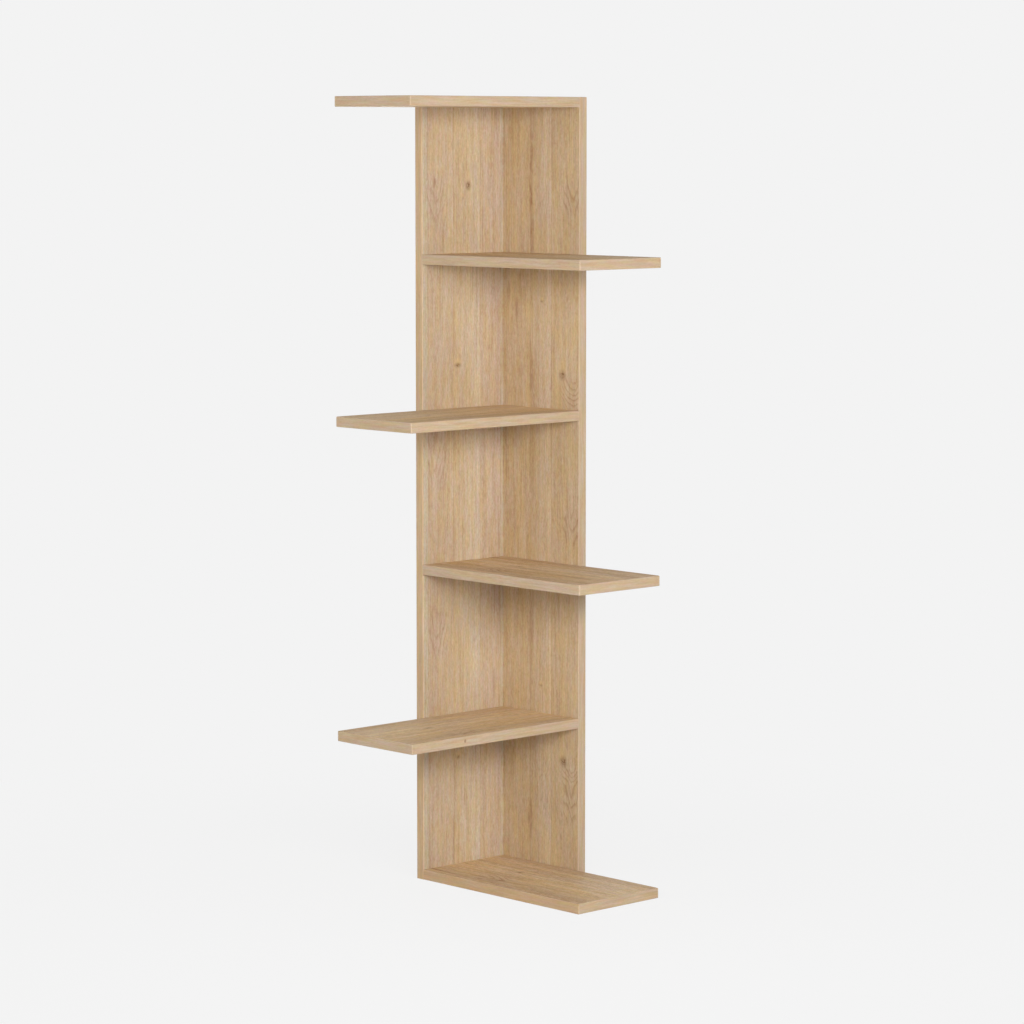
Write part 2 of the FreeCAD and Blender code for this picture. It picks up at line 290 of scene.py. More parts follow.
LEFT_STRIPS = (
    # The first strip, 7 mm of cream beside the inner corner, is a painted highlight along the corner seam
    Strip(7, "cream_and_seam_highlight", "cream_and_seam_highlight", 0.0, -90, 0.0, 0.0),
    Strip(50, "shell", "rose", 0.3, -70, 0.0, 0.4),
    Strip(64, "pearl", "fawn", 0.2, -60, 0.0, 0.1),
    Strip(61, "buff", "sand", 0.5, 165, 0.8, 0.1),
    Strip(13, "cream_and_seam_highlight", "cream_and_seam_highlight", 0.3, 320, 0.0, 0.5),
)
LEFT_KNOTS = (
    Knot(85, 1234, 4.8, 6.5, 0.74, 5),
    Knot(110, 916, 6.4, 3.4, 0.7, 4),
    Knot(111, 212, 3.5, 3, 0.5, 3),
    Knot(98, 1211, 1.8, 2.4, 0.4, 0),
)
LEFT_STAINS = (
    Stain(166, 1238, 3.0, 10, 0.3),
    Stain(160, 1216, 2.4, 12, 0.26),
    Stain(161, 1180, 2.6, 36, 0.2),
    Stain(153, 1013, 2.5, 14, 0.14),
    Stain(143, 775, 4, 26, 0.12),
    Stain(146, 712, 2.0, 24, 0.16),
    Stain(154, 455, 2.6, 30, 0.18),
    Stain(167, 430, 5, 18, 0.12),
    Stain(151, 108, 3, 16, 0.15),
)
LEFT_RISES = (
    Rise(1160, 1250, -18),
    Rise(700, 800, -16),
    Rise(400, 480, -16),
)
RIGHT_STRIPS = (
    Strip(71, "amber", "amber", 0.0, -30, 0.0, 0.7),
    Strip(54, "oat", "ivory", 0.4, 97, 0.4, 0.3),
    Strip(70, "straw", "amber", 0.6, 179, 1.0, 0.2),
)
RIGHT_KNOTS = (
    Knot(153, 901, 6.0, 7, 0.78, 6),
    Knot(157, 210, 6.6, 7, 0.84, 7),
    Knot(100, 1029, 3.0, 2, 0.4, 4),
    Knot(99, 341, 3.5, 2, 0.4, 4),
)
RIGHT_STAINS = (
    Stain(74, 1304, 3.4, 36, 0.24),
    Stain(72, 1230, 4.6, 60, 0.42),
    Stain(75, 1146, 4.4, 50, 0.3),
    Stain(75, 902, 5.0, 34, 0.26),
    Stain(73, 432, 6.0, 50, 0.26),
    Stain(72, 96, 6.5, 34, 0.32),
    Stain(15, 1042, 5, 16, 0.22),
    Stain(35, 1006, 3.6, 30, 0.26),
    Stain(48, 905, 9, 12, 0.16),
    Stain(133, 722, 3.0, 24, 0.16),
    Stain(166, 239, 2.0, 9, 0.25),
    Stain(147, 1252, 2.4, 15, 0.16),
    Stain(164, 1245, 2.0, 9, 0.16),
    Stain(179, 974, 1.8, 20, 0.18),
)
RIGHT_RISES = (
    Rise(1180, 1240, -14),
    Rise(826, 900, -50),
    Rise(600, 660, -16),
    Rise(164, 206, -34),
    Rise(98, 164, -19),
)
SHELF_STRIPS = (
    Strip(28, "ochre", "honey", 0.0, -40, 0.0, 0.2),
    Strip(38, "wheat", "wheat", 0.3, -60, 0.0, 0.4),
    Strip(64, "butter", "corn", 0.3, 98, 0.4, 0.1),
    Strip(48, "corn", "ochre", 0.4, 160, 1.0, 0.1),
    Strip(17, "honey", "honey", 0.3, 300, 0.0, 0.3),
)
SHELF_KNOTS = (
    Knot(86, 134, 4.5, 7, 0.55, 6),
)
SHELF_STAINS = (
    Stain(154, 225, 3.0, 20, 0.24),
    Stain(160, 180, 3.5, 28, 0.2),
    Stain(168, 150, 2.8, 16, 0.2),
    Stain(178, 55, 2.0, 60, 0.14),
    Stain(63, 290, 1.6, 60, 0.08),
)
SHELF_RISES = (
    Rise(110, 180, 24),
)

# How the grain of a board strays
SWAY = Stray(Cloud(0.0, 70.0, 380.0, 2.0), 10.0)
SHIVER = Stray(Cloud(0.0, 12.0, 90.0, 2.0), 1.6)
RIPPLE = Stray(Cloud(0.0, 8.0, 26.0, 3.0), 6.0)

# Marks in the grain of a board, from wide patches to single pores
PATCH = Grain(Cloud(0.0, 15.0, 150.0, 2.0), 0.3, 0.7, 0.12)
DAB = Grain(Cloud(9.4, 6.5, 17.0, 2.0, 0.6), 0.35, 0.65, 0.075)
STREAK = Grain(Cloud(4.2, 5.0, 160.0, 2.0), 0.32, 0.68, 0.065)
FIBRE = Grain(Cloud(3.1, 1.7, 130.0, 3.0), 0.33, 0.67, 0.155)
THREAD = Grain(Cloud(5.7, 1.0, 13.0, 2.0), 0.33, 0.67, 0.22)
GRIT = Grain(Cloud(6.6, 2.2, 4.5, 2.0), 0.35, 0.65, 0.095)
PORES = Grain(Cloud(8.3, 0.45, 7.0, 1.0), 0.58, 0.70, 0.105)
SCRIBE = Grain(Cloud(1.9, 1.5, 420.0, 1.0), 0.60, 0.68, 0.24)
FLECKS = Grain(Cloud(1.3, 4.0, 7.0, 2.0, 1.4), 0.56, 0.62, 0.115)
SCRIBE_PATCH = (0.45, 0.6)
SCRIBE_OFF_HEART = (10.0, 30.0)

# Ring lines: the roundness of the arches' tops in mm, the rings' slant, how they ruffle, drift and
# spread, the shares of a ring where its line fades and starts, and where and how strongly it shows
ARCH_TOP = 6.0
TAPER = 0.05
RUFFLE = 0.9
RING_DRIFT = 2.2
ARCH_SPREAD = 0.42
RING_FADE = (0.0, 0.45)
RING_START = (0.9, 1.0)
RING_COVER = (0.4, 1.4)
PLAIN_RINGS = 0.3
ARCHED_RINGS = 0.3
BOLD_RINGS = 1.5
BOLD_OFF_HEART = (16.0, 34.0)
RING_DARK = 0.125
RISE_FADE = 12.0

# Casts: warm and cool spots and bands, pinkish and greenish spots, and how much cooler bold arches are
WARM_SPOTS = Cloud(2.4, 6.0, 26.0, 3.0)
WARM_BANDS = Cloud(7.7, 18.0, 90.0, 2.0)
WARM_FADE = (0.38, 0.62)
PINK_SPOTS = Cloud(5.9, 3.5, 13.0, 3.0)
PINK_FADE = (0.33, 0.67)
COOL_ARCHES = 0.07

# Knots: how deep all dark marks go in mm, how torn the knots are, the edges of knot and brown ring as
# squared shares of the knot's size, and how the rings and the grain flow round it
MARK_DEPTH = (6.0, 12.0)
KNOT_TEARS = Cloud(0.0, 3.6, 4.0, 2.0)
KNOT_TORN = 5.0
KNOT_EDGE = (0.2, 1.4)
KNOT_CORE = (0.44, 0.56)
KNOT_PALE = 0.2
KNOT_RING = (0.6, 4.0)
KNOT_RING_DARK = 0.24
KNOT_PUSH_FADE = -0.06
FLOW_ROUND_KNOTS = 0.4

# The pale flame above a knot, in sizes of the knot
FLAME_LIFT = 1.9
FLAME_WIDTH = 1.7
FLAME_LENGTH = 2.0
FLAME_EDGE = (0.0, 1.6)
FLAME_SHARE = 0.24

# Stains: how they tear and where they thin out
STAIN_TEARS = Cloud(0.0, 2.4, 16.0, 2.0)
STAIN_TORN = 2.0
STAIN_EDGE = (0.1, 1.6)
STAIN_GAPS = Grain(Cloud(0.7, 6.0, 20.0, 2.0), 0.38, 0.56, 0.8)
STAIN_LEAST = 0.4

# Joints between strips: half the width of a jump in tone and of a dark line, in mm, and how the lines
# come and go
JOINT = 0.2
JOINT_EDGE = (0.3, 1.5)
JOINT_FADE = (0.35, 0.6)
JOINT_LEAST = 0.4
JOINT_SHIVER = 0.4
JOINT_DARK = 0.34

# Where a strip's heart may lie, and how its layer of noise is told from the next one's
HEART_LOW = -100.0
HEART_REACH = 450.0
FIRST_LAYER = 0.1
NEXT_LAYER = 0.17
LAYER_SPREAD = 71.0
LAYER_DEPTH = 5.0
LAYER_RISE = 13.0

# Oak covers what faces nearly as the board does; the rest is raw, with chips of about this size in mm
RAW_TURN = (0.8, 0.95)
CHIP_WIDTH = 2.2
CHIP_LENGTH = 2.8
CHIP_THICKNESS = 1.1
CHIP_CONTRAST = 1.6

# How much rougher the pores are, and how much smoother the ring lines
PORE_ROUGHNESS = 0.1
RING_POLISH = 0.03

# How deep the marks lie, as shares of the pore depth, and how strongly that shows
PORE_SINK = 0.5
THREAD_SINK = 0.25
RING_SINK = 0.15
RELIEF = 0.5


def upright_boards():
    """The two uprights, measured from the bottom of the inner corner."""
    bottom = (CORNER_X, CORNER_Y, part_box(LEFT_UPRIGHT)[0].z)
    left_marks = (LEFT_STRIPS, LEFT_KNOTS, LEFT_STAINS, LEFT_RISES)
    right_marks = (RIGHT_STRIPS, RIGHT_KNOTS, RIGHT_STAINS, RIGHT_RISES)
    return [
        Board(LEFT_UPRIGHT, bottom, "-y", "+z", "-x", UPRIGHT_FIGURE, *left_marks),
        Board(RIGHT_UPRIGHT, bottom, "+x", "+z", "+y", UPRIGHT_FIGURE, *right_marks),
    ]


def shelf_boards():
    """The shelves, measured from the top's inner edge. Those that go to the left lie end for end."""
    marks = (SHELF_STRIPS, SHELF_KNOTS, SHELF_STAINS, SHELF_RISES)
    found = []
    for name in SHELF_BOARDS:
        low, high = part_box(name)
        goes_right = high.x - low.x > high.y - low.y
        if goes_right:
            corner = (CORNER_X, CORNER_Y, high.z)
            found.append(Board(name, corner, "-y", "+x", "-z", RIGHT_SHELF_FIGURE, *marks))
        else:
            corner = (CORNER_X, low.y, high.z)
            found.append(Board(name, corner, "+x", "+y", "-z", LEFT_SHELF_FIGURE, *marks))
    return found


def measure(board, axes, direction):
    """Distance in mm from the board's origin along a direction such as "-y"."""
    axis = "xyz".index(direction[1])
    sign = -1.0 if direction[0] == "-" else 1.0
    return (axes.outlet(axis) - board.origin[axis]) * (sign * MM)


def strip_edges(strips):
    """Where each strip starts, in mm from the board's inner edge."""
    return [sum(strip.width for strip in strips[:number]) for number in range(len(strips))]


def tone_stops(strips, oak):
    """Ramp stops that take each strip from its inner to its outer tone, with a jump at each joint."""
    stops = []
    for edge, strip in zip(strip_edges(strips), strips):
        inner = getattr(oak, strip.inner)
        outer = getattr(oak, strip.outer)
        stops.append(((edge + JOINT) / BOARD_WIDTH, opaque(inner)))
        stops.append(((edge + strip.width - JOINT) / BOARD_WIDTH, opaque(outer)))
    return stops


def cut_stops(strips):
    """Ramp stops that hold how each strip was cut: heart, arch and ray as a colour, its layer as alpha."""
    stops = []
    for number, (edge, strip) in enumerate(zip(strip_edges(strips), strips)):
        heart = (strip.heart - HEART_LOW) / HEART_REACH
        layer = FIRST_LAYER + NEXT_LAYER * number
        stops.append((edge / BOARD_WIDTH, (heart, strip.arch, strip.ray, layer)))
    return stops


def cloud_at(cloud, across, along, layer):
    """A cloud's value at a point, from 0 to 1."""
    point = across.node(
        "ShaderNodeCombineXYZ",
        inlets={0: across / cloud.width, 1: along / cloud.length, 2: layer + cloud.layer},
    )
    return across.node(
        "ShaderNodeTexNoise",
        inlets={"Vector": point, "Scale": 1.0, "Detail": cloud.detail, "Distortion": cloud.bend},
    )


def grain_at(grain, across, along, layer):
    """Where one kind of mark shows, from 0 to 1."""
    return step(cloud_at(grain.cloud, across, along, layer), grain.low, grain.high)


def stray_at(stray, across, along, layer):
    """How far the grain strays there, in mm."""
    return (cloud_at(stray.cloud, across, along, layer) - MIDDLE) * stray.reach


def reach_of(mark, across, along):
    """How far a point lies from a mark's middle, as the square of its share of the mark's half sizes."""
    aside = (across - mark.across) / mark.radius
    ahead = (along - mark.along) / mark.length
    return aside * aside + ahead * ahead


def climb_of(board, along):
    """How far the cut has climbed through the rings, in mm, and where it is steep, from 0 to 1."""
    climb = total([step(along, rise.low, rise.high) * rise.amount for rise in board.rises])
    steep = total([
        step(along, rise.low - RISE_FADE, rise.low + RISE_FADE)
        * fall(along, rise.high - RISE_FADE, rise.high + RISE_FADE)
        for rise in board.rises
    ])
    return climb, steep


def knot_rings(board, across, along):
    """How far the board's knots push the rings, in mm."""
    return total([
        (reach_of(knot, across, along) * KNOT_PUSH_FADE).math("EXPONENT") * knot.swirl
        for knot in board.knots
    ])


def knot_spots(board, across, along, ragged):
    """How dark the board's knots are: each is a torn spot, dark in some places, in a soft brown ring."""
    spots = []
    for knot in board.knots:
        reach = reach_of(knot, across, along)
        spot = fall(reach + (ragged - MIDDLE) * KNOT_TORN, *KNOT_EDGE)
        core = KNOT_PALE + step(ragged, *KNOT_CORE) * (1.0 - KNOT_PALE)
        ring = fall(reach, *KNOT_RING) * KNOT_RING_DARK
        spots.append((spot * core + ring) * knot.dark)
    return total(spots)


def knot_flames(board, across, along):
    """The pale yellow wood that flares above each knot."""
    flames = []
    for knot in board.knots:
        flame = knot._replace(
            along=knot.along + knot.length * FLAME_LIFT,
            radius=knot.radius * FLAME_WIDTH,
            length=knot.length * FLAME_LENGTH,
        )
        flames.append(fall(reach_of(flame, across, along), *FLAME_EDGE))
    return total(flames)


def stain_spots(board, across, along, ragged, gaps):
    """How dark the streaks in the board's face are: torn along the grain, and thinner in places."""
    spots = total([
        fall(reach_of(stain, across, along) * ragged, *STAIN_EDGE) * stain.dark for stain in board.stains
    ])
    return spots * (STAIN_LEAST + gaps * STAIN_GAPS.dark)


def joint_lines(board, lie, patch):
    """Thin dark lines where two strips meet, which come and go."""
    across = lie.across + lie.shiver * JOINT_SHIVER
    lines = [
        fall((across - edge).math("ABSOLUTE"), *JOINT_EDGE) * strip.joint
        for edge, strip in zip(strip_edges(board.strips), board.strips)
        if strip.joint
    ]
    return total(lines) * (step(patch, *JOINT_FADE) * (1.0 - JOINT_LEAST) + JOINT_LEAST)


def ring_lines(lie, patch, cover, gap):
    """The dark lines of the rings: broken where fibre and grit thin out, and boldest in the arches."""
    bold = bold_arches(lie)
    turn = (lie.rings * (1.0 - lie.arch * ARCH_SPREAD) / gap + patch * RING_DRIFT).math("FRACT")
    line = (fall(turn, *RING_FADE) + step(turn, *RING_START)) * step(cover + bold, *RING_COVER)
    return line * (PLAIN_RINGS + ARCHED_RINGS * lie.arch + bold * BOLD_RINGS)


def bold_arches(lie):
    """Where the cut climbs steeply near the heart, and the arches stand out, from 0 to 1."""
    off_heart = (lie.lean - lie.heart).math("ABSOLUTE")
    return lie.steep * lie.arch * fall(off_heart, *BOLD_OFF_HEART)


def scribed_lines(lie, patch):
    """Long thin lines, as if scribed, in some patches beside the heart."""
    off_heart = (lie.lean - lie.heart).math("ABSOLUTE")
    line = grain_at(SCRIBE, lie.lean, lie.along, lie.layer) * step(patch, *SCRIBE_PATCH)
    return line * step(off_heart, *SCRIBE_OFF_HEART)


def cast_wood(tone, oak, cool, pink):
    """A tone with its warm or cool cast and its greenish or pinkish cast; cool and pink go from 0 to 1."""
    warmth = blend(opaque(oak.warm_cast), opaque(oak.cool_cast), cool)
    blush = blend(opaque(oak.olive_cast), opaque(oak.rose_cast), pink)
    return tinted(tinted(tone, warmth), blush)


def raw_face(start, board):
    """1 where a face of the board isn't covered by oak, such as its ends and the walls of its holes."""
    normal = start.node("ShaderNodeNewGeometry", outlet="Normal")
    parts = normal.node("ShaderNodeSeparateXYZ", inlets={0: normal})
    outward = parts.outlet("xyz".index(board.through[1]))
    return fall(outward.math("ABSOLUTE"), *RAW_TURN)


def chipboard(oak, across, along, through):
    """Pressed chips of many sizes, from straw to brown."""
    point = across.node(
        "ShaderNodeCombineXYZ",
        inlets={0: across / CHIP_WIDTH, 1: along / CHIP_LENGTH, 2: through / CHIP_THICKNESS},
    )
    chips = across.node(
        "ShaderNodeTexVoronoi",
        {"feature": "F1"},
        {"Vector": point, "Scale": 1.0, "Randomness": 1.0},
        "Color",
    )
    shade = chips.node("ShaderNodeSeparateColor", inlets={0: chips})
    return blend(opaque(oak.chip), opaque(oak.dark_chip), shade ** CHIP_CONTRAST)


def lie_of(board, start):
    """How the grain lies at each point of a board."""
    place = start.node("ShaderNodeTexCoord", outlet="Object")
    axes = place.node("ShaderNodeSeparateXYZ", inlets={0: place})
    across = measure(board, axes, board.across)
    along = measure(board, axes, board.along)
    through = measure(board, axes, board.through)

    cut = ramp(across / BOARD_WIDTH, "CONSTANT", cut_stops(board.strips))
    parts = cut.node("ShaderNodeSeparateColor", inlets={0: cut})
    heart = parts * HEART_REACH + HEART_LOW
    arch = parts.outlet(1)
    ray = parts.outlet(2)
    layer = cut.outlet("Alpha") * LAYER_SPREAD + through / LAYER_DEPTH + board.origin[2] * LAYER_RISE

    shown = fall(through, *MARK_DEPTH)
    shiver = stray_at(SHIVER, across, along, layer)
    ripple = stray_at(RIPPLE, across, along, layer)
    lean = across + stray_at(SWAY, across, along, layer) + shiver
    swirl = knot_rings(board, across, along) * shown
    climb, steep = climb_of(board, along)
    rings = ((lean - heart) ** 2.0 + ARCH_TOP ** 2) ** 0.5 + (climb - along * TAPER) * arch
    rings = rings + swirl + steep * ripple * RUFFLE
    flow = lean + swirl * FLOW_ROUND_KNOTS
    return Lie(
        across, along, through, layer, heart, arch, ray, shown, shiver, ripple, lean, steep, rings, flow
    )


def board_tone(board, lie, oak):
    """The tone of each strip, with its warm, cool, greenish and pinkish casts."""
    tone = ramp(lie.across / BOARD_WIDTH, "LINEAR", tone_stops(board.strips, oak))
    spots = cloud_at(WARM_SPOTS, lie.flow, lie.along, lie.layer)
    bands = cloud_at(WARM_BANDS, lie.lean, lie.along, lie.layer)
    cool = step((spots + bands) / 2.0 + bold_arches(lie) * COOL_ARCHES, *WARM_FADE)
    pink = step(cloud_at(PINK_SPOTS, lie.flow, lie.along, lie.layer), *PINK_FADE)
    return cast_wood(tone, oak, cool, pink)


def mark_board(board, lie, oak, colour):
    """A board's colour with its pale flames and its dark stains and knots."""
    wavy = lie.across + lie.ripple
    flames = knot_flames(board, wavy, lie.along) * lie.shown
    tears = cloud_at(STAIN_TEARS, lie.flow, lie.along, lie.layer) * STAIN_TORN
    gaps = grain_at(STAIN_GAPS, lie.flow, lie.along, lie.layer)
    stains = stain_spots(board, wavy, lie.along, tears, gaps) * lie.shown
    ragged = cloud_at(KNOT_TEARS, lie.across, lie.along, lie.layer)
    knots = knot_spots(board, lie.across, lie.along, ragged) * lie.shown
    colour = blend(colour, opaque(oak.flame), flames * FLAME_SHARE)
    colour = blend(colour, opaque(oak.bark), stains)
    return blend(colour, opaque(oak.knot), knots)


def oak_board(board, oak):
    """The oak of one board: strips with fibres, rings, pores, rays, joints and knots, all in mm."""
    material, shader, start = new_material(board.node + "_oak")
    lie = lie_of(board, start)
    flow_place = (lie.flow, lie.along, lie.layer)
    patch = cloud_at(PATCH.cloud, *flow_place)
    fibre = grain_at(FIBRE, *flow_place)
    thread = grain_at(THREAD, *flow_place)
    grit = grain_at(GRIT, *flow_place)
    pores = grain_at(PORES, *flow_place)
    line = ring_lines(lie, patch, grit + fibre, oak.ring_gap)
    dark = total([
        step(patch, PATCH.low, PATCH.high) * PATCH.dark,
        grain_at(DAB, *flow_place) * DAB.dark,
        grain_at(STREAK, lie.rings, lie.along, lie.layer) * STREAK.dark,
        fibre * FIBRE.dark,
        thread * THREAD.dark,
        grit * GRIT.dark,
        scribed_lines(lie, patch) * SCRIBE.dark,
        line * RING_DARK,
        pores * PORES.dark,
        grain_at(FLECKS, lie.lean, lie.along, lie.layer) * lie.ray * FLECKS.dark,
        joint_lines(board, lie, patch) * JOINT_DARK,
    ]) * board.figure

    colour = blend(board_tone(board, lie, oak), opaque(oak.grain), dark)
    colour = mark_board(board, lie, oak, colour)
    chips = chipboard(oak, lie.across, lie.along, lie.through)
    height = 1.0 - pores * PORE_SINK - thread * THREAD_SINK - line * RING_SINK
    connect(
        shader,
        Base_Color=blend(colour, chips, raw_face(start, board)),
        Roughness=oak.roughness + pores * PORE_ROUGHNESS - line * RING_POLISH,
        Normal=raise_grain(height, oak.pore_depth, RELIEF),
    )
    shader.inputs["Specular IOR Level"].default_value = oak.sheen
    return material


class OakFinish(bpy.types.PropertyGroup):
    """Colours and grain of the oak boards and edge bands."""

    # This cream also paints the highlight along the left upright's inner corner seam
    cream_and_seam_highlight: colour_setting("Cream", "Pale edges of the left upright", paint(214, 203, 185))
    shell: colour_setting("Shell", "Pinkish strip beside the corner", paint(217, 198, 182))
    rose: colour_setting("Rose", "Outer side of the pinkish strip", paint(223, 204, 183))
    pearl: colour_setting(
        "Pearl", "Pale cool side of the left upright's middle strip", paint(227, 213, 196)
    )
    fawn: colour_setting("Fawn", "Yellowish side of the left upright's middle strip", paint(220, 199, 171))
    buff: colour_setting("Buff", "Inner side of the left upright's arched strip", paint(220, 201, 178))
    sand: colour_setting("Sand", "Outer, greyer side of the same strip", paint(212, 191, 170))
    amber: colour_setting("Amber", "Golden strip beside the corner", paint(219, 197, 168))
    ivory: colour_setting("Ivory", "Palest side of the right upright's middle strip", paint(232, 213, 191))
    oat: colour_setting("Oat", "Yellower side of the right upright's middle strip", paint(212, 190, 161))
    straw: colour_setting("Straw", "Arched strip of the right upright", paint(222, 200, 171))
    ochre: colour_setting("Ochre", "Darker sides of the shelves' strips", paint(223, 199, 171))
    honey: colour_setting("Honey", "Golden strips of the shelves", paint(237, 211, 183))
    wheat: colour_setting("Wheat", "Light yellowish strip of the shelves", paint(242, 218, 188))
    butter: colour_setting("Butter", "Palest side of the shelves' middle strip", paint(249, 226, 196))
    corn: colour_setting("Corn", "Yellow beside the shelves' third joint", paint(244, 216, 179))
    grain: colour_setting("Grain", "Dark of the pores, fibres and ring lines", paint(140, 92, 50))
    knot: colour_setting("Knot", "Dark of the knots", paint(104, 62, 34))
    bark: colour_setting("Bark", "Reddish brown of the dark streaks", paint(140, 88, 60))
    flame: colour_setting("Flame", "Pale wood above the knots", paint(222, 188, 128))
    chip: colour_setting("Chip", "Pale chips of the raw board", paint(206, 178, 138))
    dark_chip: colour_setting("Dark chip", "Brown chips of the raw board", paint(136, 102, 68))
    warm_cast: colour_setting("Warm cast", "Tint of the warm streaks", (0.99, 0.98, 0.8))
    cool_cast: colour_setting("Cool cast", "Tint of the cool streaks", (0.965, 0.99, 1.0))
    olive_cast: colour_setting("Olive cast", "Tint of the greenish streaks", (0.93, 1.0, 0.955))
    rose_cast: colour_setting("Rose cast", "Tint of the pinkish streaks", (1.0, 0.935, 0.97))
    band: colour_setting("Edge band", "Oak of the edge bands", paint(203, 180, 158))
    warm_band: colour_setting("Warm edge band", "Yellower oak of some edge bands", paint(210, 182, 153))
    dark_band: colour_setting("Dark edge band", "Browner oak of some edge bands", paint(205, 176, 146))
    # Painted highlight: a paler colour along the band rims, standing for light caught by the rounded edges
    rim_highlight: colour_setting("Worn edge", "Pale wood where an edge is rubbed", paint(226, 208, 184))
    ring_gap: bpy.props.FloatProperty(
        name="Ring gap", description="Distance between ring lines, in millimetres", default=5.5, min=1.0
    )
    roughness: bpy.props.FloatProperty(
        name="Roughness", description="Roughness of the matt finish", subtype="FACTOR", default=0.6
    )
    sheen: bpy.props.FloatProperty(
        name="Sheen", description="How much light the finish mirrors", subtype="FACTOR", default=0.06
    )
    pore_depth: bpy.props.FloatProperty(
        name="Pore depth", description="Depth of the open pores", unit="LENGTH", default=0.0001
    )


# Edge bands: their marks, how one band's layer of noise is told from another's, how deep the marks lie,
# and where the painted highlight along the rims fades, in mm

BAND_KNOTS = {"shelf_2_front_band": Knot(10, 122, 3.0, 2.2, 0.5, 0)}
BAND_TONES = {"left_upright_front_band": "warm_band", "shelf_1_front_band": "dark_band"}
BAND_SWAY = Stray(Cloud(0.0, 130.0, 130.0, 2.0), 8.0)
BAND_PATCH = Grain(Cloud(0.0, 6.0, 80.0, 2.0), 0.3, 0.7, 0.11)
BAND_FIBRE = Grain(Cloud(3.1, 1.8, 45.0, 2.0), 0.35, 0.65, 0.14)
BAND_GRIT = Grain(Cloud(6.6, 2.0, 6.0, 2.0), 0.35, 0.65, 0.075)
BAND_PORES = Grain(Cloud(8.3, 0.5, 7.0, 1.0), 0.6, 0.7, 0.105)
BAND_WARM = Cloud(2.4, 6.0, 50.0, 3.0)
BAND_PINK = Cloud(5.9, 4.0, 30.0, 3.0)
BAND_CAST_FADE = (0.3, 0.7)
BAND_KNOT_EDGE = (0.2, 1.8)
BAND_SPREAD = (17.0, 29.0, 41.0)
BAND_PORE_SINK = 0.6
BAND_FIBRE_SINK = 0.2
BAND_RELIEF = 0.4
# Painted highlight along each band's rims: where it fades out, in mm, and how strongly it shows
HIGHLIGHT_RIM = (0.2, 1.2)
HIGHLIGHT_SHARE = 0.5


def oak_band(name, oak):
    """Oak of one edge band, with straight fine grain along its length."""
    material, shader, start = new_material(name + "_oak")
    low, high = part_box(name)
    size = high - low
    longest = max(range(3), key=lambda axis: size[axis])
    thinnest = min(range(3), key=lambda axis: size[axis])
    middle = 3 - longest - thinnest
    place = start.node("ShaderNodeTexCoord", outlet="Object")
    axes = place.node("ShaderNodeSeparateXYZ", inlets={0: place})
    along = (axes.outlet(longest) - low[longest]) * MM
    across = (axes.outlet(middle) - low[middle]) * MM
    through = (axes.outlet(thinnest) - low[thinnest]) * MM

    layer = sum(value * spread for value, spread in zip(low, BAND_SPREAD))
    side = across + through + stray_at(BAND_SWAY, along, along, layer)
    patch = grain_at(BAND_PATCH, side, along, layer)
    fibre = grain_at(BAND_FIBRE, side, along, layer)
    grit = grain_at(BAND_GRIT, side, along, layer)
    pores = grain_at(BAND_PORES, side, along, layer)
    cool = step(cloud_at(BAND_WARM, side, along, layer), *BAND_CAST_FADE)
    pink = step(cloud_at(BAND_PINK, side, along, layer), *BAND_CAST_FADE)
    dark = total([
        patch * BAND_PATCH.dark,
        fibre * BAND_FIBRE.dark,
        grit * BAND_GRIT.dark,
        pores * BAND_PORES.dark,
    ])
    rim = across.math("MINIMUM", size[middle] * MM - across)
    rim = rim.math("MINIMUM", along).math("MINIMUM", size[longest] * MM - along)
    # Painted highlight: the rims are lightened, broken up by the grit, as if the rounded edges caught
    # light
    rim_highlight = fall(rim, *HIGHLIGHT_RIM) * grit
    tone = opaque(getattr(oak, BAND_TONES.get(name, "band")))
    tone = cast_wood(tone, oak, cool, pink)
    tone = blend(tone, opaque(oak.rim_highlight), rim_highlight * HIGHLIGHT_SHARE)
    tone = blend(tone, opaque(oak.grain), dark)
    if name in BAND_KNOTS:
        knot = BAND_KNOTS[name]
        spot = fall(reach_of(knot, across, along), *BAND_KNOT_EDGE)
        tone = blend(tone, opaque(oak.knot), spot * knot.dark)
    height = 1.0 - pores * BAND_PORE_SINK - fibre * BAND_FIBRE_SINK
    connect(
        shader,
        Base_Color=tone,
        Roughness=oak.roughness + pores * PORE_ROUGHNESS,
        Normal=raise_grain(height, oak.pore_depth, BAND_RELIEF),
    )
    shader.inputs["Specular IOR Level"].default_value = oak.sheen
    return material


# Screws and dowels


class MetalFinish(bpy.types.PropertyGroup):
    """Zinc plating of the screws."""

    zinc: colour_setting("Zinc", "Bright zinc plating", paint(205, 208, 211))
    dull: colour_setting("Dull zinc", "Clouded parts of the plating", paint(150, 152, 150))
    roughness: bpy.props.FloatProperty(
        name="Roughness", description="Roughness of the plating", subtype="FACTOR", default=0.3
    )
    grit_depth: bpy.props.FloatProperty(
        name="Grit depth", description="Depth of the grit in the plating", unit="LENGTH", default=0.00003
    )


class BeechFinish(bpy.types.PropertyGroup):
    """Beech of the dowels."""

    beech: colour_setting("Beech", "Plain beech", paint(214, 182, 145))
    fleck: colour_setting("Fleck", "Short dark flecks in the beech", paint(160, 112, 72))
    roughness: bpy.props.FloatProperty(
        name="Roughness", description="Roughness of the bare wood", subtype="FACTOR", default=0.6
    )
    fleck_depth: bpy.props.FloatProperty(
        name="Fleck depth", description="Depth of the flecks", unit="LENGTH", default=0.00005
    )


Speckle = namedtuple("Speckle", "spots detail")
Speckle.__doc__ = """Even noise all over a piece: how many spots it has to the metre, and how fine they
get."""

